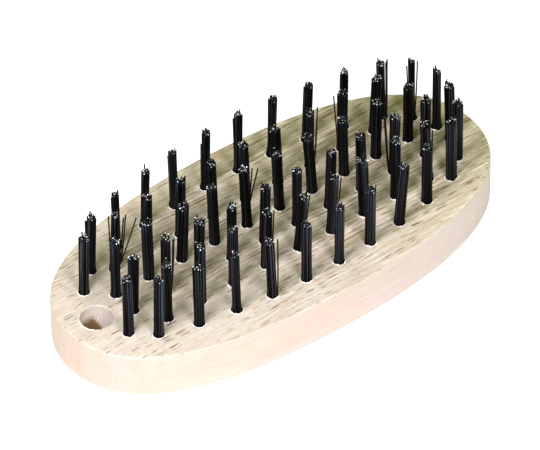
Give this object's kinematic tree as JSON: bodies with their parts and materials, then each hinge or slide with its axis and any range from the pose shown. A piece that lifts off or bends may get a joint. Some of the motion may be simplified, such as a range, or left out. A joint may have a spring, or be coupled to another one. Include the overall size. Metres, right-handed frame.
{
  "type": "wire scrub brush",
  "caption": "Oval wooden hand brush with cross rows of black wire tufts on one face and a hang hole at one end.",
  "frame": {"origin": "centre of the block's flat underside", "axes": "+X along the block away from the hang hole, +Y across the block, +Z out of the tufted face, the way the tufts stand"},
  "size_m": [0.18, 0.0854, 0.0452],
  "materials": {
    "beech": "sanded, unvarnished",
    "black_wire": "black oil-tempered, drawn",
    "anchor_steel": "plain flat wire"
  },
  "bodies": {
    "root": {"block": "beech", "tuft_row_01": "black_wire", "tuft_row_02": "black_wire", "tuft_row_03": "black_wire", "tuft_row_04": "black_wire", "tuft_row_05": "black_wire", "tuft_row_06": "black_wire", "tuft_row_07": "black_wire", "tuft_row_08": "black_wire", "tuft_row_09": "black_wire", "tuft_row_10": "black_wire", "tuft_row_11": "black_wire", "tuft_row_12": "black_wire", "tuft_row_13": "black_wire", "tuft_row_14": "black_wire", "tuft_row_15": "black_wire", "tuft_row_16": "black_wire", "tuft_row_17": "black_wire", "tuft_row_18": "black_wire", "tuft_row_19": "black_wire", "tuft_row_20": "black_wire", "tuft_row_21": "black_wire", "tuft_row_22": "black_wire", "anchor_row_01": "anchor_steel", "anchor_row_02": "anchor_steel", "anchor_row_03": "anchor_steel", "anchor_row_04": "anchor_steel", "anchor_row_05": "anchor_steel", "anchor_row_06": "anchor_steel", "anchor_row_07": "anchor_steel", "anchor_row_08": "anchor_steel", "anchor_row_09": "anchor_steel", "anchor_row_10": "anchor_steel", "anchor_row_11": "anchor_steel", "anchor_row_12": "anchor_steel", "anchor_row_13": "anchor_steel", "anchor_row_14": "anchor_steel", "anchor_row_15": "anchor_steel", "anchor_row_16": "anchor_steel", "anchor_row_17": "anchor_steel", "anchor_row_18": "anchor_steel", "anchor_row_19": "anchor_steel", "anchor_row_20": "anchor_steel", "anchor_row_21": "anchor_steel", "anchor_row_22": "anchor_steel"}
  },
  "joints": []
}
